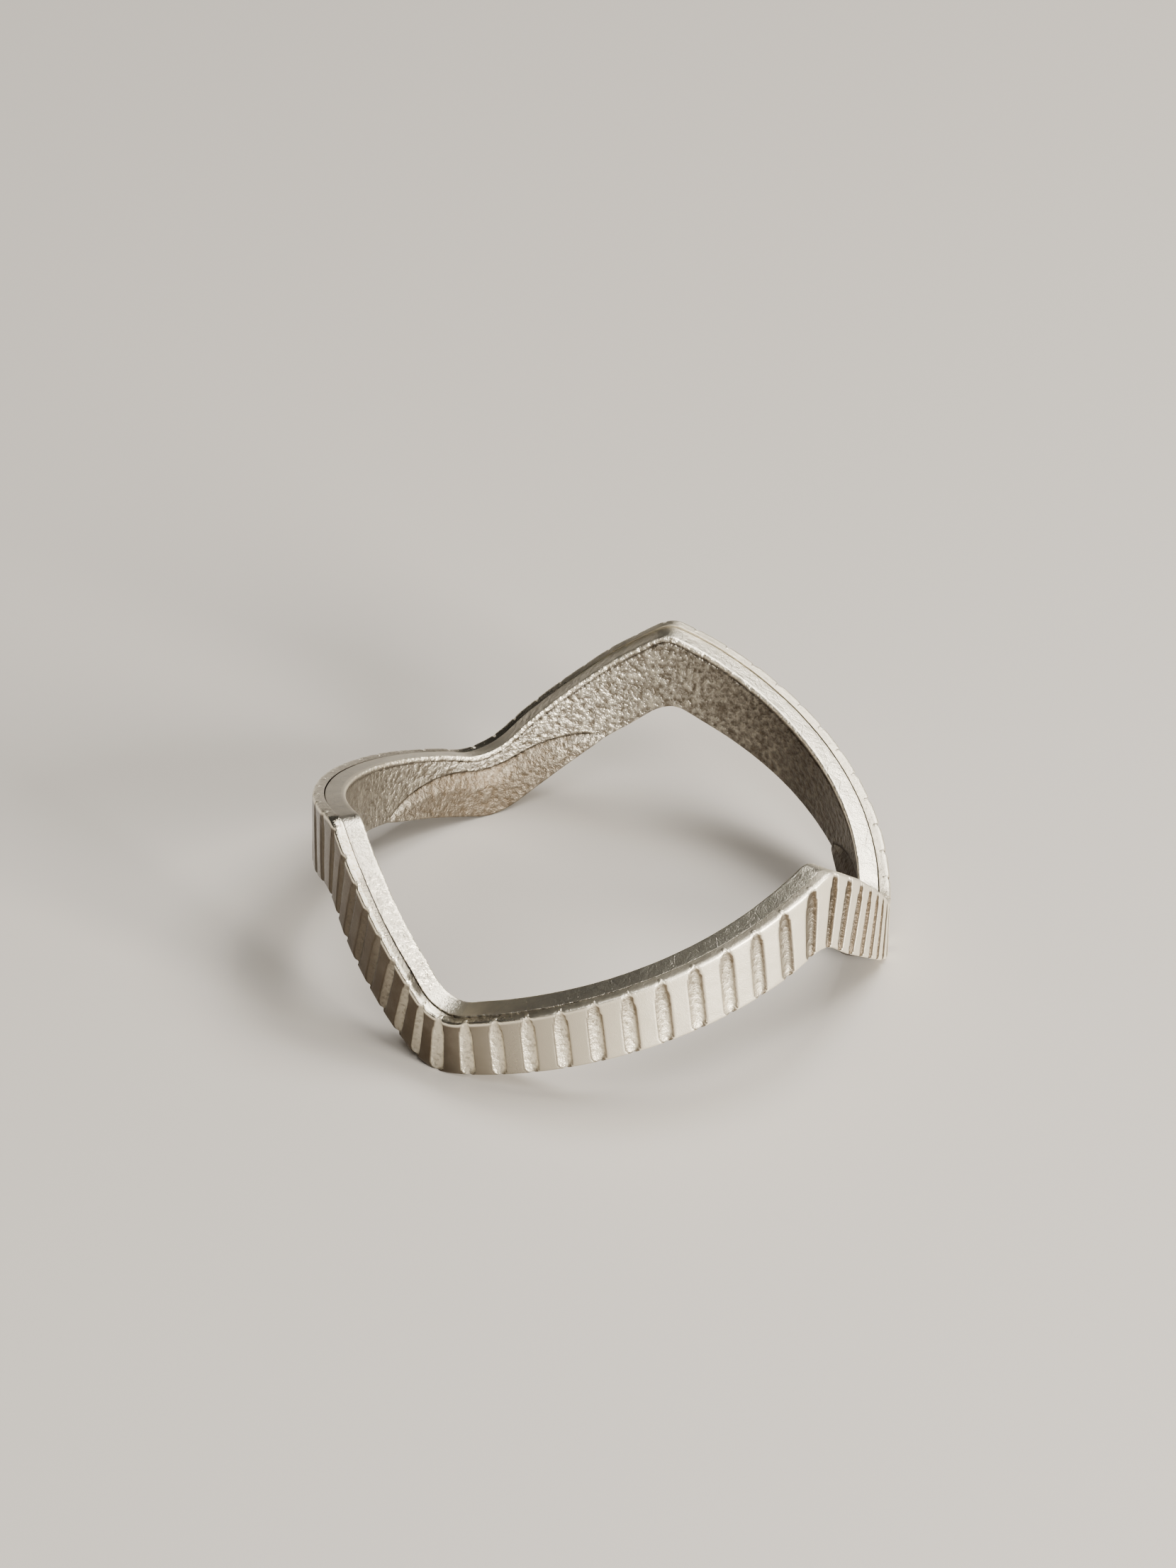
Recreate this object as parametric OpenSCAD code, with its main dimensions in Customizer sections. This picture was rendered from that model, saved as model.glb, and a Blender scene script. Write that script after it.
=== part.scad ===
// Wavy puzzle ring: a fluted band with a plain band nested inside it.
// Millimetres, +Z up. The origin is on the ring's axis, in the plane it rests on,
// and +X points close to one of the low points. Both bands are swept round the axis.

/* [Ring] */
// Outside diameter over the lands between the flutes
ring_od = 33; // [24:0.5:60]
// Thickness of the two bands together, from outside to inside wall
wall = 1.9; // [1.5:0.1:2.6]
// Number of waves, which is also the number of feet
waves = 3; // [3:1:5]

/* [Wave] */
// Height of each crest above the rest plane
overall_h = 11.6; // [7:0.1:16]
// Height of the top edge above the rest plane at each low point
low_h = 3.55; // [3:0.05:5]
// Height of the gap under each crest
arch_h = 6.7; // [2:0.1:8]
// Share of a wave taken by its long ramp, the rest being the short ramp
long_share = 0.69; // [0.5:0.005:0.75]
// Rounding of the top edge at the crests, as a share of a wave
crest_round = 0.018; // [0.01:0.002:0.08]
// Rounding of the top edge at the low points
low_round = 0.06; // [0.01:0.005:0.08]
// Rounding of the crests and lows of the bottom edge
bottom_round = 0.04; // [0.01:0.005:0.08]
// Fall of the top face towards the outside at each low point
low_tilt = 0.55; // [0:0.05:0.8]

// Turn of the low points from their even places, in degrees, in order round the ring
low_drift = [1, 1, 0]; // [-6:0.5:6]
// Turn of the crests that follow them
crest_drift = [-2, 4, 2]; // [-6:0.5:6]

/* [Fluted band] */
// Flutes on each long ramp
flutes_long = 13; // [8:1:20]
// Flutes on each short ramp
flutes_short = 8; // [4:1:12]
// Depth of a flute below the lands beside it
flute_depth = 0.28; // [0.1:0.02:0.4]
// Share of the pitch that a flute takes
flute_share = 0.5; // [0.3:0.05:0.7]
// Lean of the flutes, from 0 for upright to 1 for square with the band
flute_lean = 0.35; // [0:0.05:0.5]
// Thickness of the fluted band behind a flute
sleeve_wall = 0.4; // [0.3:0.05:0.6]
// Height of its lip above the plain band
lip_h = 0.12; // [0:0.02:0.2]

/* [Plain band] */
// Running gap all round between the two bands
seam_gap = 0.05; // [0.02:0.01:0.1]
// How far each foot reaches in past the inside wall
foot_depth = 0.6; // [0:0.05:1]
// Half the length of a foot, as a share of a wave
foot_half = 0.215; // [0.15:0.005:0.3]
// Distance of a foot's middle from the low point, as a share of a wave
foot_shift = 0.03; // [0:0.005:0.08]
// Height of a foot's back, as a share of the band's height there
foot_rise = 0.7; // [0.3:0.05:0.8]

/* [Hidden] */

silver = [0.66, 0.65, 0.62];
dark_silver = [0.55, 0.53, 0.50];
wave_deg = 360 / waves;
flutes = flutes_long + flutes_short;
flute_steps = 4;
plain_steps = 96;
outer_r = ring_od / 2;
flute_r = outer_r - flute_depth;
sleeve_r = flute_r - sleeve_wall;
plain_r = sleeve_r - seam_gap;
inside_r = outer_r - wall;
flat_foot = 0.08;

// A sharp wave of period 1 and height 1, and the area under it from 0 to p
function part_of(p) = p - floor(p);
function sharp(q) = q < long_share ? q / long_share : (1 - q) / (1 - long_share);
function area_in(q) = q < long_share
    ? q * q / (2 * long_share)
    : 1 / 2 - (1 - q) * (1 - q) / (2 * (1 - long_share));
function area(p) = floor(p) / 2 + area_in(part_of(p));

// The same wave rounded, by taking its mean over a stretch of half-length w,
// and stretched so that it still runs from 0 at a low point to 1 at a crest
function rounded(p, w) = (area(p + w) - area(p - w)) / (2 * w);
function lowest(w) = rounded(w * (2 * long_share - 1), w);
function highest(w) = rounded(long_share - w * (2 * long_share - 1), w);
function wave(p, low_w, crest_w) =
    (rounded(p, low_w + (crest_w - low_w) * sharp(part_of(p))) - lowest(low_w))
        / (highest(crest_w) - lowest(low_w));
function top_wave(p) = wave(p, low_round, crest_round);
function bottom_wave(p) = wave(p, bottom_round, bottom_round);

// Steepness of the band: its rise for each millimetre round the ring
function steepness(p, w) = (overall_h - low_h) * (sharp(part_of(p + w)) - sharp(part_of(p - w)))
    / (2 * w) / (wave_deg * PI / 180 * outer_r);

// Heights of the edges. f runs from 0 at the inside wall to 1 at the outside
function bottom_z(p) = arch_h * bottom_wave(p);
function top_z(p, f) = low_h + (overall_h - low_h) * top_wave(p)
    + low_tilt * (1 - f) * (1 - top_wave(p));
function depth_share(r) = (r - inside_r) / wall;

// Turn of the band at p, since the hand-made waves aren't quite even
function turned(drifts, w) = drifts[(w % waves) % len(drifts)];
function drift(p) = let (w = floor(p), q = part_of(p))
    q < long_share
        ? turned(low_drift, w) + (turned(crest_drift, w) - turned(low_drift, w)) * q / long_share
        : turned(low_drift, w + 1)
            + (turned(crest_drift, w) - turned(low_drift, w + 1)) * (1 - q) / (1 - long_share);

// A point at radius r and height z on the column that stands at p half-way up
function lean_deg(p, z) = flute_lean * steepness(p, 2 * bottom_round)
    * ((top_z(p, 1) + bottom_z(p)) / 2 - z) / outer_r * 180 / PI;
function at(p, r, z) = let (a = p * wave_deg + drift(p) + lean_deg(p, z)) [r * cos(a), r * sin(a), z];

// Place of flute number v along its wave, and the wall's radius across the flute
function flute_place(v) = v < flutes_long
    ? v / flutes_long * long_share
    : long_share + (v - flutes_long) / flutes_short * (1 - long_share);
function wall_r(u) = outer_r - flute_depth * sin(180 * u);

// Height of a foot's back and its reach inwards, both zero away from a low point
function foot(p) = let (d = (part_of(p - foot_shift + 0.5) - 0.5) / foot_half)
    abs(d) < 1 ? 1 - d * d : 0;
function foot_back_z(p) = bottom_z(p)
    + (top_z(p, 0) - bottom_z(p)) * (flat_foot + (foot_rise - flat_foot) * foot(p));
function foot_r(p) = inside_r - foot_depth * sqrt(foot(p));

// Sections of the bands, from the outside top edge down and round to the inside
function fluted_section(p, u) = [
    at(p, wall_r(u), top_z(p, 1)),
    at(p, wall_r(u), bottom_z(p)),
    at(p, sleeve_r, bottom_z(p)),
    at(p, sleeve_r, top_z(p, 1)),
];
function plain_section(p) = [
    at(p, plain_r, top_z(p, depth_share(plain_r)) - lip_h),
    at(p, plain_r, bottom_z(p)),
    at(p, foot_r(p), bottom_z(p)),
    at(p, inside_r, foot_back_z(p)),
    at(p, inside_r, top_z(p, 0) - lip_h),
];

// A closed skin through sections that stand one after another round the ring
module swept(sections) {
    columns = len(sections);
    rows = len(sections[0]);
    polyhedron(
        points = [for (s = sections) each s],
        faces = [for (i = [0 : columns - 1], j = [0 : rows - 1])
            let (
                k = (i + 1) % columns,
                l = (j + 1) % rows,
                here = i * rows,
                next = k * rows
            ) each [
                [here + j, here + l, next + l],
                [here + j, next + l, next + j],
            ]],
        convexity = 10
    );
}

module outer_band() {
    color(silver)
        swept([for (w = [0 : waves - 1], v = [0 : flutes - 1], s = [0 : flute_steps + 1])
            let (u = min(1, s / flute_steps), land = s > flute_steps ? (1 - flute_share) / 2 : 0)
            fluted_section(w + flute_place(v + u * flute_share + land), u)]);
}

module inner_band() {
    color(dark_silver)
        swept([for (i = [0 : waves * plain_steps - 1]) plain_section(i / plain_steps)]);
}

outer_band();
inner_band();
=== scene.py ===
"""A wavy metal puzzle ring: a fluted band with a plain band nested inside it, on a pale floor."""

import math

import bpy
from mathutils import Matrix, Vector, noise


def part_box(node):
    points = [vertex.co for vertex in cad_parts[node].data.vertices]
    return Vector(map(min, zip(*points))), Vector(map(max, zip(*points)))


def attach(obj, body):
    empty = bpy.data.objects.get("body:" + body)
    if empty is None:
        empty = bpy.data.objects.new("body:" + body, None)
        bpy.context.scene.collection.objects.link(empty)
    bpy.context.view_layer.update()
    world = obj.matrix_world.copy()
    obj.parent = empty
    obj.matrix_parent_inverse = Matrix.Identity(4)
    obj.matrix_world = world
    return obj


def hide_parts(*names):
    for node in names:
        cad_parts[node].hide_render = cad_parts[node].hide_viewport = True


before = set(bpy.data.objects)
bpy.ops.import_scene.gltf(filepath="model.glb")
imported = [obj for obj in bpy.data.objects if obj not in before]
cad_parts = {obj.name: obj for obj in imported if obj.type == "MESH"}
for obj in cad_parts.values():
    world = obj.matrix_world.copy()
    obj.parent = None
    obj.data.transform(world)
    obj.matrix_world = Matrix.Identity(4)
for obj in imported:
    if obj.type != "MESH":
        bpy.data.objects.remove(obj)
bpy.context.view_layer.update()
bpy.ops.object.select_all(action="DESELECT")

MM = 0.001

# ---------------------------------------------------------------- sizes, in millimetres
# The box gives the outside; the rest are the design's own sizes.
OUTSIDE_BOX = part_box("outer_band")
OUTER_R = (OUTSIDE_BOX[1][1] - OUTSIDE_BOX[0][1]) / 2 / MM
OVERALL_H = OUTSIDE_BOX[1][2] / MM
WAVES = 3
LONG_SHARE = 0.69
LOW_H = 3.55
ARCH_H = 6.7
CREST_ROUND = 0.018
LOW_ROUND = 0.06
BOTTOM_ROUND = 0.04
LOW_TILT = 0.55
LOW_DRIFT = (1, 1, 0)
CREST_DRIFT = (-2, 4, 2)
WALL = 1.9
FLUTES_LONG = 13
FLUTES_SHORT = 8
FLUTE_DEPTH = 0.28
FLUTE_SHARE = 0.5
FLUTE_LEAN = 0.35
SLEEVE_WALL = 0.4
LIP_H = 0.12
SEAM_GAP = 0.05
FOOT_DEPTH = 0.6
FOOT_HALF = 0.215
FOOT_SHIFT = 0.03
FOOT_RISE = 0.7
FLAT_FOOT = 0.08

WAVE_DEG = 360 / WAVES
FLUTES = FLUTES_LONG + FLUTES_SHORT
SLEEVE_R = OUTER_R - FLUTE_DEPTH - SLEEVE_WALL
PLAIN_R = SLEEVE_R - SEAM_GAP
INSIDE_R = OUTER_R - WALL


# ---------------------------------------------------------------- camera
VIEW_TURN_DEG = 4.8
VIEW_ELEVATION_DEG = 32.85
VIEW_ROLL_DEG = 1.2
VIEW_DISTANCE = 490
VIEW_HEIGHT = 89.7
AIM_RIGHT = -0.9
AIM_UP = 8.7
SENSOR = 36
NEAREST, FARTHEST = 0.01, 20  # metres


def add_camera():
    turn, rise = math.radians(VIEW_TURN_DEG - 90), math.radians(VIEW_ELEVATION_DEG)
    back = Vector((math.cos(turn) * math.cos(rise), math.sin(turn) * math.cos(rise), math.sin(rise)))
    right = Vector((-math.sin(turn), math.cos(turn), 0))
    up = back.cross(right)
    place = (back * VIEW_DISTANCE + right * AIM_RIGHT + up * AIM_UP) * MM
    bpy.ops.object.camera_add(location=place)
    camera = bpy.context.object
    stand = Matrix((right, up, back)).transposed().to_4x4()
    camera.matrix_world = (
        Matrix.Translation(place) @ stand @ Matrix.Rotation(math.radians(VIEW_ROLL_DEG), 4, "Z")
    )
    camera.data.sensor_width = SENSOR
    camera.data.lens = SENSOR * VIEW_DISTANCE / VIEW_HEIGHT
    camera.data.clip_start, camera.data.clip_end = NEAREST, FARTHEST
    bpy.context.scene.camera = camera


add_camera()


# ---------------------------------------------------------------- the wave
def part_of(p):
    return p - math.floor(p)


def sharp(p):
    q = part_of(p)
    return q / LONG_SHARE if q < LONG_SHARE else (1 - q) / (1 - LONG_SHARE)


def area(p):
    q = part_of(p)
    if q < LONG_SHARE:
        return math.floor(p) / 2 + q * q / (2 * LONG_SHARE)
    return math.floor(p) / 2 + 0.5 - (1 - q) ** 2 / (2 * (1 - LONG_SHARE))


def rounded(p, w):
    return (area(p + w) - area(p - w)) / (2 * w)


def wave(p, low_w, crest_w):
    """The height of the band from 0 at a low point, rounded by low_w, to 1 at a crest."""
    skew = 2 * LONG_SHARE - 1
    low, high = rounded(low_w * skew, low_w), rounded(LONG_SHARE - crest_w * skew, crest_w)
    return (rounded(p, low_w + (crest_w - low_w) * sharp(p)) - low) / (high - low)


def bottom_z(p):
    return ARCH_H * wave(p, BOTTOM_ROUND, BOTTOM_ROUND)


def top_z(p, outward):
    rise = wave(p, LOW_ROUND, CREST_ROUND)
    return LOW_H + (OVERALL_H - LOW_H) * rise + LOW_TILT * (1 - outward) * (1 - rise)


def steepness(p):
    w = 2 * BOTTOM_ROUND
    across = math.radians(WAVE_DEG) * OUTER_R
    return (OVERALL_H - LOW_H) * (sharp(p + w) - sharp(p - w)) / (2 * w) / across


def drift(p):
    """The turn of the band at p from an even ring, in degrees."""
    w, q = math.floor(p), part_of(p)
    crest = CREST_DRIFT[w % WAVES]
    if q < LONG_SHARE:
        low = LOW_DRIFT[w % WAVES]
        return low + (crest - low) * q / LONG_SHARE
    low = LOW_DRIFT[(w + 1) % WAVES]
    return low + (crest - low) * (1 - q) / (1 - LONG_SHARE)


def ring_point(p, r, z, skin=(0, 0)):
    """The point of column p at radius r and height z, in metres; columns lean as the flutes do.
    skin says how far the uneven cast surface may sink there, outwards and upwards."""
    lean = FLUTE_LEAN * steepness(p) * ((top_z(p, 1) + bottom_z(p)) / 2 - z) / OUTER_R
    a = math.radians(p * WAVE_DEG + drift(p)) + lean
    place = Vector((r * math.cos(a), r * math.sin(a), z))
    dent = 0.5 + 0.5 * noise.noise(place * DENTS)
    ripple = 0.5 + 0.5 * noise.noise(place * RIPPLES + Vector((7, 3, 1)))
    sunk = UNEVEN * (0.65 * dent + 0.35 * ripple)
    r, z = r + skin[0] * sunk, z + skin[1] * sunk
    return Vector((r * math.cos(a), r * math.sin(a), z)) * MM


# ---------------------------------------------------------------- sections
UNEVEN = 0.05
DENTS, RIPPLES = 0.45, 1.6  # per mm
MERGE_WITHIN = 0.002


def fade(distance, reach):
    """1 at no distance and 0 from reach on."""
    x = max(0, 1 - abs(distance) / reach)
    return x * x * (3 - 2 * x)


def fitting_radii(corners):
    """The corners' radii, made smaller where two of them would run into each other."""
    radii = [radius for r, z, radius in corners]
    for i, (r, z, radius) in enumerate(corners):
        j = (i + 1) % len(corners)
        room = 0.9 * math.hypot(corners[j][0] - r, corners[j][1] - z)
        share = min(1, room / (radius + corners[j][2]))
        radii[i] = min(radii[i], radius * share)
        radii[j] = min(radii[j], corners[j][2] * share)
    return radii


def rounded_loop(corners, steps, bends):
    """Points round a closed section. A corner is (r, z, radius), steps[i] is the number of points
    on the straight from corner i to the next, and bends is the number on each rounded corner."""
    count = len(corners)
    radii = fitting_radii(corners)
    points = []
    for i, (r, z, radius) in enumerate(corners):
        here = Vector((r, z))
        before, after = Vector(corners[i - 1][:2]), Vector(corners[(i + 1) % count][:2])
        start = here + (before - here).normalized() * radii[i]
        end = here + (after - here).normalized() * radii[i]
        for k in range(bends):
            t = k / (bends - 1)
            points.append(start * (1 - t) ** 2 + here * 2 * t * (1 - t) + end * t * t)
        stop = after + (here - after).normalized() * radii[(i + 1) % count]
        for k in range(1, steps[i] + 1):
            points.append(end.lerp(stop, k / (steps[i] + 1)))
    return points


def rolled_band(name, sections, marks):
    """A closed band through a ring of sections: a flat grid with a column for each section, rolled
    up, set and merged along its ends. The wave, the flutes and the feet follow formulas that no
    modelling operator gives. marks is {attribute: value at each point of each section}."""
    columns, rows = len(sections), len(sections[0])
    bpy.ops.mesh.primitive_grid_add(x_subdivisions=columns, y_subdivisions=rows)
    band = bpy.context.object
    band.name = name
    band.data.name = name
    # The grid runs along its columns first, and repeats the first column and row at its end
    order = [(i % columns, j % rows) for j in range(rows + 1) for i in range(columns + 1)]
    spots = [value for i, j in order for value in sections[i][j]]
    band.data.vertices.foreach_set("co", spots)
    for mark, values in marks.items():
        layer = band.data.attributes.new(mark, "FLOAT", "POINT")
        layer.data.foreach_set("value", [values[i][j] for i, j in order])
    bpy.ops.object.mode_set(mode="EDIT")
    bpy.ops.mesh.select_all(action="SELECT")
    bpy.ops.mesh.remove_doubles(threshold=MERGE_WITHIN * MM)
    bpy.ops.mesh.normals_make_consistent(inside=False)
    bpy.ops.object.mode_set(mode="OBJECT")
    bpy.ops.object.shade_smooth()
    bpy.ops.object.select_all(action="DESELECT")
    return band


# ---------------------------------------------------------------- the fluted band
COLUMNS_PER_FLUTE = 18
WALL_STEPS = 20
CORNER_STEPS = 5
RIM_R = 0.22
FOOT_EDGE_R = 0.16
SEAM_EDGE_R = 0.035
RIM_WEAR = 0.42
FLUTE_SLANT = 0.35
FLUTE_FOOT_END = 0.14
FLUTE_FOOT_WIDTH = 0.2
FLUTE_LIP_START = 0.68
FLUTE_LIP_SPREAD = 0.24
FLUTE_LIP_REACH = 0.95
FLUTE_ROUNDNESS = 0.55
SKIN_SPREAD = 1.6


def flute_place(v):
    if v < FLUTES_LONG:
        return v / FLUTES_LONG * LONG_SHARE
    return LONG_SHARE + (v - FLUTES_LONG) / FLUTES_SHORT * (1 - LONG_SHARE)


def flute_at(v, t, w):
    """How deep the flutes of wave w are at place v round it and at share t of the wall's height,
    and how far v is across its flute, from -1 to 1. They end round at the bottom edge and narrow
    towards the lip, one side is steeper than the other, and no two are quite alike."""
    across = part_of(v - FLUTE_SHARE / 2 + 0.5) - 0.5
    number = math.floor(v + FLUTE_SHARE / 2) % FLUTES + FLUTES * w
    hand = 0.5 + 0.5 * noise.noise(Vector((number * 0.77, 4.3, 2.1)))
    lip_start = FLUTE_LIP_START - FLUTE_LIP_SPREAD * hand
    if t < FLUTE_FOOT_END:
        bend = math.sqrt(max(0, 1 - (1 - t / FLUTE_FOOT_END) ** 2))
        width = bend * (1 - FLUTE_FOOT_WIDTH) + FLUTE_FOOT_WIDTH
    elif t > lip_start:
        width = math.sqrt(1 - (FLUTE_LIP_REACH * (t - lip_start) / (1 - lip_start)) ** 2)
    else:
        width = 1
    x = across / (FLUTE_SHARE / 2 * width * (1.04 - 0.16 * hand))
    if abs(x) >= 1:
        return 0, 0
    steeper_side = 1 + FLUTE_SLANT * x
    depth = FLUTE_DEPTH * (1 - 0.2 * hand) * width * steeper_side
    return depth * (1 - x * x) ** FLUTE_ROUNDNESS, x


def make_fluted_band():
    sections, depths, sides, heights, rims = [], [], [], [], []
    for w in range(WAVES):
        for k in range(FLUTES * COLUMNS_PER_FLUTE):
            v = k / COLUMNS_PER_FLUTE
            p = w + flute_place(v)
            top, bottom = top_z(p, 1), bottom_z(p)
            loop = rounded_loop(
                [
                    (OUTER_R, top, RIM_R),
                    (OUTER_R, bottom, FOOT_EDGE_R),
                    (SLEEVE_R, bottom, SEAM_EDGE_R),
                    (SLEEVE_R, top, SEAM_EDGE_R),
                ],
                (WALL_STEPS, 2, 2, 3),
                CORNER_STEPS,
            )
            section, cuts, steep, shares, worn = [], [], [], [], []
            for r, z in loop:
                t = min(1, max(0, (z - bottom) / (top - bottom)))
                outward = min(1, max(0, (r - SLEEVE_R) / (OUTER_R - SLEEVE_R)) * SKIN_SPREAD)
                cut, side = flute_at(v, t, w)
                cut *= outward ** 3
                near_top = max(0, 1 - (top - z) / RIM_R)
                section.append(ring_point(p, r - cut, z, (-outward, -near_top)))
                cuts.append(cut / FLUTE_DEPTH)
                steep.append(0.5 + 0.5 * side)
                shares.append(t)
                worn.append(fade(math.hypot(r - OUTER_R, z - top), RIM_WEAR))
            sections.append(section)
            depths.append(cuts)
            sides.append(steep)
            heights.append(shares)
            rims.append(worn)
    marks = {"flute": depths, "flute_side": sides, "height": heights, "rim": rims}
    band = rolled_band("fluted_band", sections, marks)
    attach(band, "outer_ring")
    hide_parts("outer_band")
    return band


# ---------------------------------------------------------------- the plain band
PLAIN_COLUMNS = 240
TOP_EDGE_R = 0.2
EDGE_WEAR = 0.4
SHOULDER_SHARE, SHOULDER_HEIGHT, SHOULDER_R = 0.6, 0.68, 0.1
CREASE, CREASE_W = 0.07, 0.14
LINE_BELOW_EDGE = 0.42
LINE_W, LINE_DEPTH, LINE_LIP, LINE_TONE = 0.1, 0.05, 0.02, 0.13
SMALL_R = 0.03


def foot(p):
    d = (part_of(p - FOOT_SHIFT + 0.5) - 0.5) / FOOT_HALF
    return 1 - d * d if abs(d) < 1 else 0


def make_plain_band():
    sections, feet, creases, edges = [], [], [], []
    for k in range(WAVES * PLAIN_COLUMNS):
        p = k / PLAIN_COLUMNS
        bottom = bottom_z(p)
        seam_top = top_z(p, (PLAIN_R - INSIDE_R) / WALL) - LIP_H
        top = top_z(p, 0) - LIP_H
        back = bottom + (top_z(p, 0) - bottom) * (FLAT_FOOT + (FOOT_RISE - FLAT_FOOT) * foot(p))
        reach = FOOT_DEPTH * math.sqrt(foot(p))
        creased = min(1, 4 * foot(p))
        shoulder = bottom + (back - bottom) * SHOULDER_HEIGHT
        line = top - LINE_BELOW_EDGE
        loop = rounded_loop(
            [
                (PLAIN_R, seam_top, SEAM_EDGE_R),
                (PLAIN_R, bottom, SEAM_EDGE_R),
                (INSIDE_R - reach, bottom, FOOT_EDGE_R),
                (INSIDE_R - reach * SHOULDER_SHARE, shoulder, SHOULDER_R),
                (INSIDE_R + CREASE * creased, back, SMALL_R),
                (INSIDE_R, back + CREASE_W, SMALL_R),
                (INSIDE_R, line - LINE_W, SMALL_R),
                (INSIDE_R + LINE_DEPTH, line, SMALL_R),
                (INSIDE_R - LINE_LIP, line + LINE_W, SMALL_R),
                (INSIDE_R, top, TOP_EDGE_R),
            ],
            (2, 3, 6, 5, 1, 9, 1, 1, 1, 5),
            CORNER_STEPS,
        )
        section, in_foot, lines, worn = [], [], [], []
        for r, z in loop:
            inside = min(1, max(0, (PLAIN_R - r) / (PLAIN_R - INSIDE_R) * 1.4 - 0.4))
            face = top + (seam_top - top) * (r - INSIDE_R) / (PLAIN_R - INSIDE_R)
            near_top = max(0, 1 - (face - z) / TOP_EDGE_R)
            near_top *= min(1, max(0, (r - INSIDE_R) / TOP_EDGE_R))
            section.append(ring_point(p, r, z, (inside * (1 - near_top), -near_top)))
            on_wall = r < INSIDE_R + 0.08
            in_foot.append(math.sqrt(foot(p)) if on_wall and z < back else 0)
            # This mark is painted shade: it darkens the wall along the fold above the foot and along
            # the groove under the top edge.
            lines.append(
                max(fade(z - back, CREASE_W) * creased, 0.8 * fade(z - line, LINE_TONE))
                if on_wall else 0
            )
            worn.append(fade(math.hypot(r - INSIDE_R, z - top), EDGE_WEAR))
        sections.append(section)
        feet.append(in_foot)
        creases.append(lines)
        edges.append(worn)
    band = rolled_band("plain_band", sections, {"foot": feet, "crease": creases, "edge": edges})
    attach(band, "inner_ring")
    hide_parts("inner_band")
    return band


# ---------------------------------------------------------------- shader arithmetic
class Value:
    """A shader socket that can be used in Python sums."""

    def __init__(self, mix, socket):
        self.mix, self.socket = mix, socket

    def sum(self, operation, first, second):
        return self.mix.add("ShaderNodeMath", {"operation": operation}, {0: first, 1: second})

    def __add__(self, other):
        return self.sum("ADD", self, other)

    def __radd__(self, other):
        return self.sum("ADD", other, self)

    def __sub__(self, other):
        return self.sum("SUBTRACT", self, other)

    def __rsub__(self, other):
        return self.sum("SUBTRACT", other, self)

    def __mul__(self, other):
        return self.sum("MULTIPLY", self, other)

    def __rmul__(self, other):
        return self.sum("MULTIPLY", other, self)


class Finish:
    """A material under construction, with one method that adds any node."""

    def __init__(self, name):
        self.material = bpy.data.materials.new(name)
        self.material.use_nodes = True
        self.tree = self.material.node_tree
        self.shader = self.tree.nodes["Principled BSDF"]

    def add(self, kind, settings=None, inputs=None, output=0):
        node = self.tree.nodes.new(kind)
        for key, value in (settings or {}).items():
            if key == "stops":
                self.set_stops(node.color_ramp, value)
            else:
                setattr(node, key, value)
        for key, value in (inputs or {}).items():
            self.join(value, node.inputs[key])
        return Value(self, node.outputs[output])

    def set_stops(self, ramp, stops):
        while len(ramp.elements) < len(stops):
            ramp.elements.new(1)
        for element, (place, colour) in zip(ramp.elements, stops):
            element.position = place
            element.color = (*colour, 1) if isinstance(colour, tuple) else (colour,) * 3 + (1,)

    def join(self, value, socket):
        if isinstance(value, Value):
            self.tree.links.new(value.socket, socket)
        else:
            socket.default_value = value

    def feed(self, **inputs):
        for name, value in inputs.items():
            self.join(value, self.shader.inputs[name.replace("_", " ")])

    def millimetres(self):
        place = self.add("ShaderNodeTexCoord", output=3)
        return self.add(
            "ShaderNodeVectorMath", {"operation": "SCALE"}, {0: place, "Scale": 1 / MM}
        )

    def noise(self, place, scale, detail=3, roughness=0.5):
        return self.add(
            "ShaderNodeTexNoise", None,
            {"Vector": place, "Scale": scale, "Detail": detail, "Roughness": roughness},
        )

    def ramp(self, value, *stops):
        return self.add("ShaderNodeValToRGB", {"stops": stops}, {"Fac": value})

    def blend(self, share, first, second):
        return self.add(
            "ShaderNodeMix", {"data_type": "RGBA"}, {0: share, 6: first, 7: second}, output=2
        )

    def attribute(self, name):
        return self.add("ShaderNodeAttribute", {"attribute_name": name}, output=2)

    def across(self, place, start, end):
        """Along X, 0 on start's side of the two places and 1 on end's."""
        x = self.add("ShaderNodeSeparateXYZ", None, {0: place})
        return self.ramp((x - start) * (1 / (end - start)), (0.0, 0.0), (1.0, 1.0))

    def scratches(self, place, scale, width):
        """Thin wandering lines, 1 on a line and 0 off it."""
        lines = self.add(
            "ShaderNodeTexVoronoi", {"feature": "DISTANCE_TO_EDGE"},
            {"Vector": place, "Scale": scale, "Randomness": 1.0},
        )
        return self.ramp(lines, (0.0, 1.0), (width, 0.0))

    def upward(self):
        """How far the surface faces up, from -1 to 1."""
        normal = self.add("ShaderNodeNewGeometry", output=1)
        return self.add("ShaderNodeSeparateXYZ", None, {0: normal}, output=2)

    def bump(self, height, depth_mm):
        return self.add(
            "ShaderNodeBump", None,
            {"Height": height, "Distance": depth_mm * MM, "Strength": 1.0},
        )


POLISHED = (0.96, 0.89, 0.73, 1)
BRIGHT = (0.84, 0.77, 0.62, 1)
GREY = (0.52, 0.48, 0.41, 1)
# DARKENED is partly the colour of real stains and partly painted shade.
DARKENED = (0.15, 0.13, 0.1, 1)
DULL = (0.26, 0.225, 0.175, 1)
# The three colours below are painted shade only: dark tones standing in for shade and for dark
# surroundings seen in the metal.
PAINTED_SHADE_BROWN = (0.12, 0.088, 0.055, 1)
PAINTED_SHADE_DEEP_BROWN = (0.085, 0.066, 0.047, 1)
PAINTED_SHADE_BLACK = (0.045, 0.033, 0.022, 1)


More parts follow.
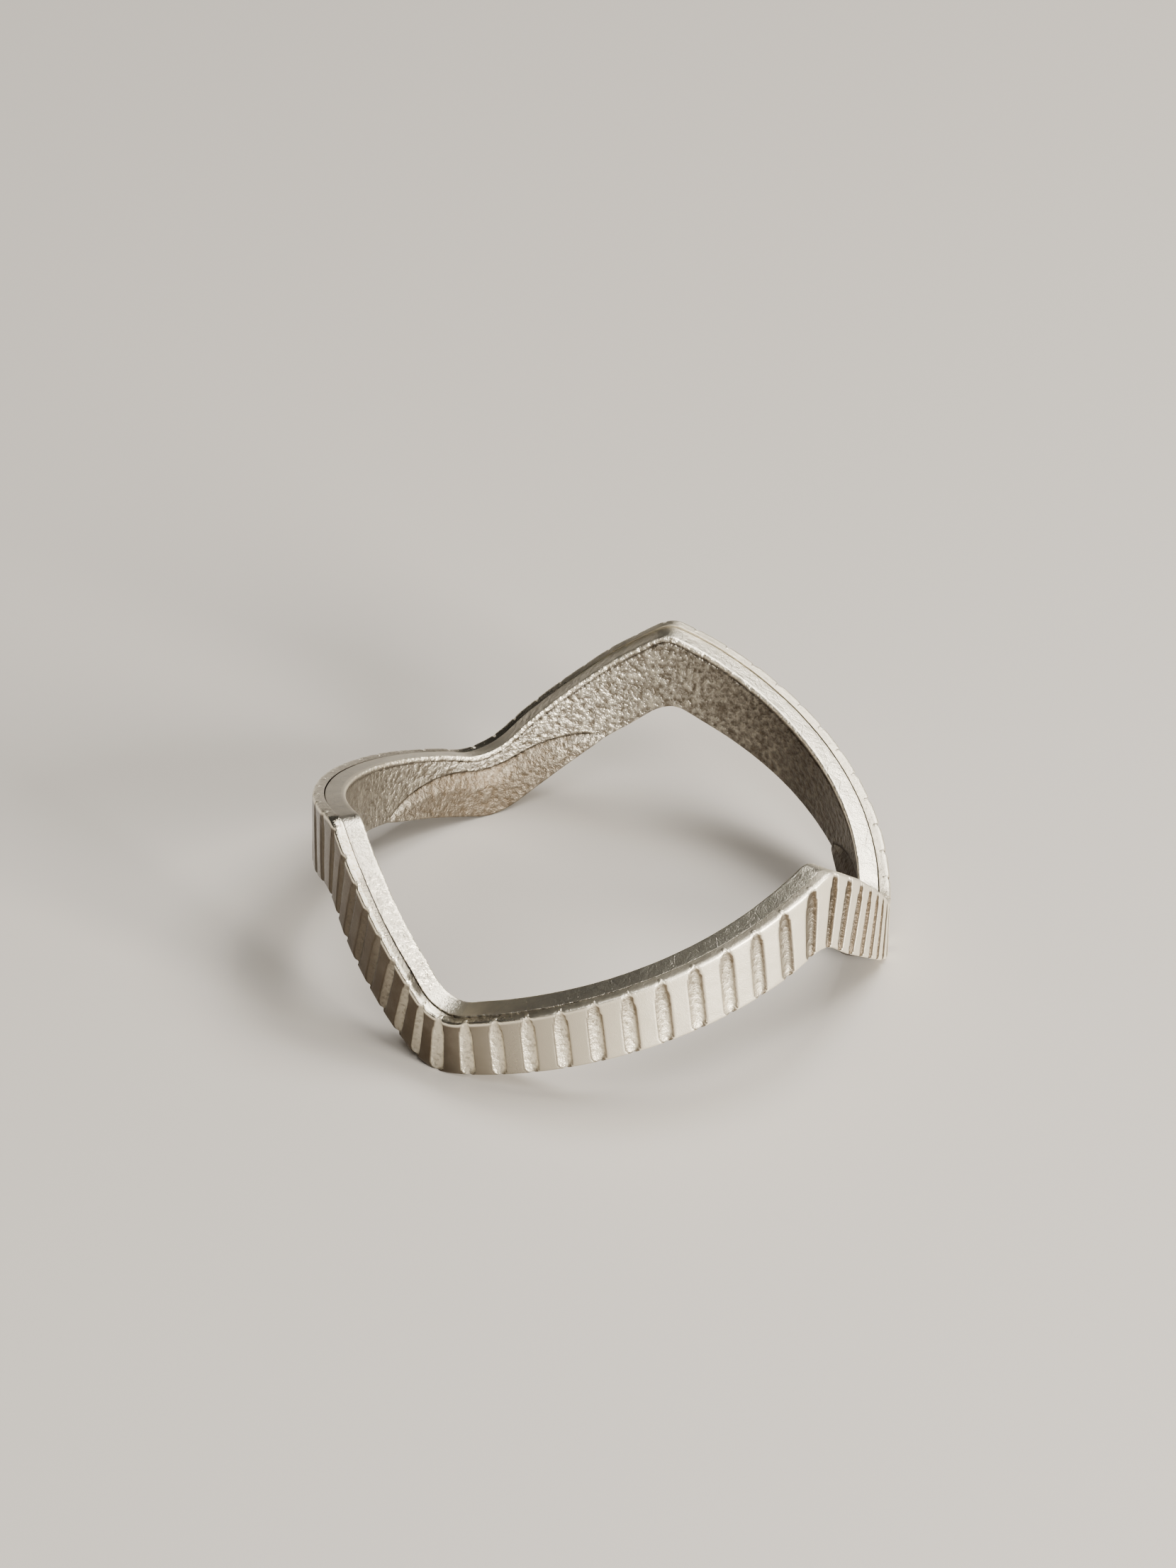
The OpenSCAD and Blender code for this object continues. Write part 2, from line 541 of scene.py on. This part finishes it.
def fluted_finish():
    metal = Finish("fluted_metal")
    place = metal.millimetres()
    flute = metal.attribute("flute")
    rim = metal.ramp(metal.attribute("rim"), (0.15, 0.0), (0.6, 1.0))
    top = metal.ramp(metal.upward(), (0.55, 0.0), (0.85, 1.0))
    blotch = metal.noise(place, 0.9, 4, 0.6)
    grain = metal.noise(place, 3.6, 4, 0.6)
    fine = metal.noise(place, 20, 2, 0.5)
    in_flute = metal.ramp(flute, (0.06, 0.0), (0.3, 1.0))
    # Masks for painted shade in the flutes: their walls, and most of all the steeper right side.
    groove_wall = metal.ramp(flute, (0.0, 0.0), (0.1, 1.0), (0.5, 0.6), (0.85, 0.0))
    steep = metal.ramp(metal.attribute("flute_side"), (0.5, 0.15), (0.85, 1.0))
    # Painted highlight: this mask picks the gentle left side of each flute, turned to the light from
    # the right.
    painted_highlight_side = metal.ramp(metal.attribute("flute_side"), (0.1, 1.0), (0.3, 0.0))
    stain = metal.ramp(blotch, (0.4, 0.0), (0.7, 1.0))
    # Painted light and painted reflection: this ramp runs from the left to the right of the ring.
    # The lands go from dark brown on the left, standing in for dark surroundings reflected there, to
    # polished on the right, where the light falls.
    painted_light_right = metal.across(place, -7.5, 4.26)
    land = metal.blend(painted_light_right, PAINTED_SHADE_DEEP_BROWN, POLISHED)
    land = metal.blend(stain * 0.08, land, GREY)
    pits = metal.ramp(grain, (0.36, 1.0), (0.5, 0.0))
    # Painted shade in the flutes: at the far left, at the right, and over their upper part towards
    # the right.
    far = metal.across(place, -6.86, -11.86)
    painted_shade_right = metal.across(place, 9, 13.38)
    upper = metal.ramp(metal.attribute("height"), (0.25, 0.1), (0.75, 1.0))
    # Cast, pitted flute bottoms, with painted shade over their upper part towards the right.
    cast = metal.blend(pits * 0.5 + painted_light_right * upper * 0.5, POLISHED, DULL)
    # Painted highlight: the left side of each flute is made polished.
    cast = metal.blend(painted_highlight_side * 0.7, cast, POLISHED)
    # Painted shade on the flutes at the right and at the far left.
    cast = metal.blend(painted_shade_right * 0.9, cast, PAINTED_SHADE_BLACK)
    cast = metal.blend(far * 0.92, cast, PAINTED_SHADE_DEEP_BROWN)
    wall = metal.blend(in_flute, land, cast)
    # Painted shade: the flutes' walls are darkened, most on their steeper right side and towards the
    # right of the ring.
    wall = metal.blend(groove_wall * steep * 0.95, wall, PAINTED_SHADE_BROWN)
    wall = metal.blend(groove_wall * painted_light_right * 0.6, wall, PAINTED_SHADE_BROWN)
    face = metal.blend(stain * 0.3 + pits * 0.2, BRIGHT, DULL)
    colour = metal.blend(top, wall, face)
    colour = metal.blend(rim, colour, POLISHED)
    roughness = 0.18 + 0.26 * in_flute + 0.26 * painted_light_right * (1 - in_flute) + 0.1 * (grain - 0.5)
    height = grain * (0.12 + 0.88 * in_flute + 0.25 * top) + 0.15 * fine
    metal.feed(
        Base_Color=colour,
        Metallic=1.0,
        Roughness=roughness + 0.02 * top,
        Normal=metal.bump(height, 0.1),
    )
    return metal.material


def plain_finish():
    metal = Finish("plain_metal")
    place = metal.millimetres()
    foot_share = metal.attribute("foot")
    edge = metal.ramp(metal.attribute("edge"), (0.2, 0.0), (0.6, 1.0))
    crease = metal.attribute("crease")
    top = metal.ramp(metal.upward(), (0.55, 0.0), (0.85, 1.0))
    blotch = metal.noise(place, 0.8, 4, 0.6)
    peel = metal.noise(place, 3.0, 3, 0.55)
    fine = metal.noise(place, 13, 3, 0.6)
    lines = metal.scratches(place, 0.4, 0.016)
    stain = metal.ramp(blotch, (0.38, 0.0), (0.68, 1.0))
    # Painted shade: the inside wall darkens towards the right, where it faces away from the light.
    right = metal.across(place, -1.17, 10.5)
    # Painted shade: the left of the inside wall and of its top face is darkened.
    left = metal.across(place, -8, -15)
    wall = metal.ramp(peel, (0.36, DULL[:3]), (0.5, GREY[:3]), (0.66, POLISHED[:3]))
    # Real stains and painted shade on the left darken the wall.
    wall = metal.blend(stain * 0.2 + left * 0.75, wall, DARKENED)
    # Painted shade: the foot, low by the floor, is darkened.
    wall = metal.blend(foot_share * 0.85, wall, PAINTED_SHADE_BROWN)
    # Painted shade on the right of the inside wall.
    wall = metal.blend(right * 0.88, wall, PAINTED_SHADE_BLACK)
    # Painted shade along the fold above the foot and the groove under the top edge.
    wall = metal.blend(crease * (1 - 0.5 * stain), wall, PAINTED_SHADE_BLACK)
    # The top face: real stains and scratches, with painted shade on its left.
    face = metal.blend(stain * 0.3 + lines * 0.2 + left * 0.5, POLISHED, GREY)
    colour = metal.blend(top, wall, face)
    colour = metal.blend(edge, colour, POLISHED)
    height = peel * (1.0 - 0.85 * top - 0.6 * foot_share) + 0.1 * fine - 0.03 * top * lines
    metal.feed(
        Base_Color=colour,
        Metallic=1.0,
        Roughness=0.34 - 0.04 * top + 0.1 * foot_share + 0.12 * (fine - 0.5),
        Normal=metal.bump(height, 0.24),
    )
    return metal.material


fluted_band = make_fluted_band()
fluted_band.data.materials.clear()
fluted_band.data.materials.append(fluted_finish())
plain_band = make_plain_band()
plain_band.data.materials.clear()
plain_band.data.materials.append(plain_finish())


# ---------------------------------------------------------------- floor and light
# The floor and the softboxes are in metres.
FLOOR_SIZE = 1.6
LAMP_DISTANCE = 0.5
ROOM_LIGHT = 0.06


def add_floor():
    bpy.ops.mesh.primitive_plane_add(size=FLOOR_SIZE, location=(0, 0, 0))
    floor = bpy.context.object
    floor.name = "floor"
    pale = Finish("pale_floor")
    pale.feed(Base_Color=(0.52, 0.49, 0.45, 1), Roughness=0.6)
    floor.data.materials.append(pale.material)


def add_softbox(name, direction, size, watts, colour):
    """A square soft light that faces the ring."""
    towards = Vector(direction).normalized()
    bpy.ops.object.light_add(type="AREA", location=towards * LAMP_DISTANCE)
    lamp = bpy.context.object
    lamp.name = name
    lamp.rotation_euler = towards.to_track_quat("Z", "Y").to_euler()
    lamp.data.shape = "SQUARE"
    lamp.data.size = size
    lamp.data.energy = watts
    lamp.data.color = colour


def add_light():
    world = bpy.data.worlds.new("room")
    bpy.context.scene.world = world
    world.use_nodes = True
    background = world.node_tree.nodes["Background"]
    background.inputs["Color"].default_value = (0.6, 0.58, 0.55, 1)
    background.inputs["Strength"].default_value = ROOM_LIGHT
    add_softbox("overhead", (0.52, 0.06, 0.85), 0.2, 1.9, (1.0, 0.96, 0.9))
    add_softbox("skylight", (0.3, 0.4, 0.87), 0.18, 1.6, (1.0, 0.97, 0.92))
    add_softbox("ceiling", (0.0, -0.6, 0.8), 0.2, 1.2, (1.0, 0.97, 0.92))
    add_softbox("window", (0.77, -0.58, 0.25), 0.18, 7.6, (1.0, 0.95, 0.87))


add_floor()
add_light()
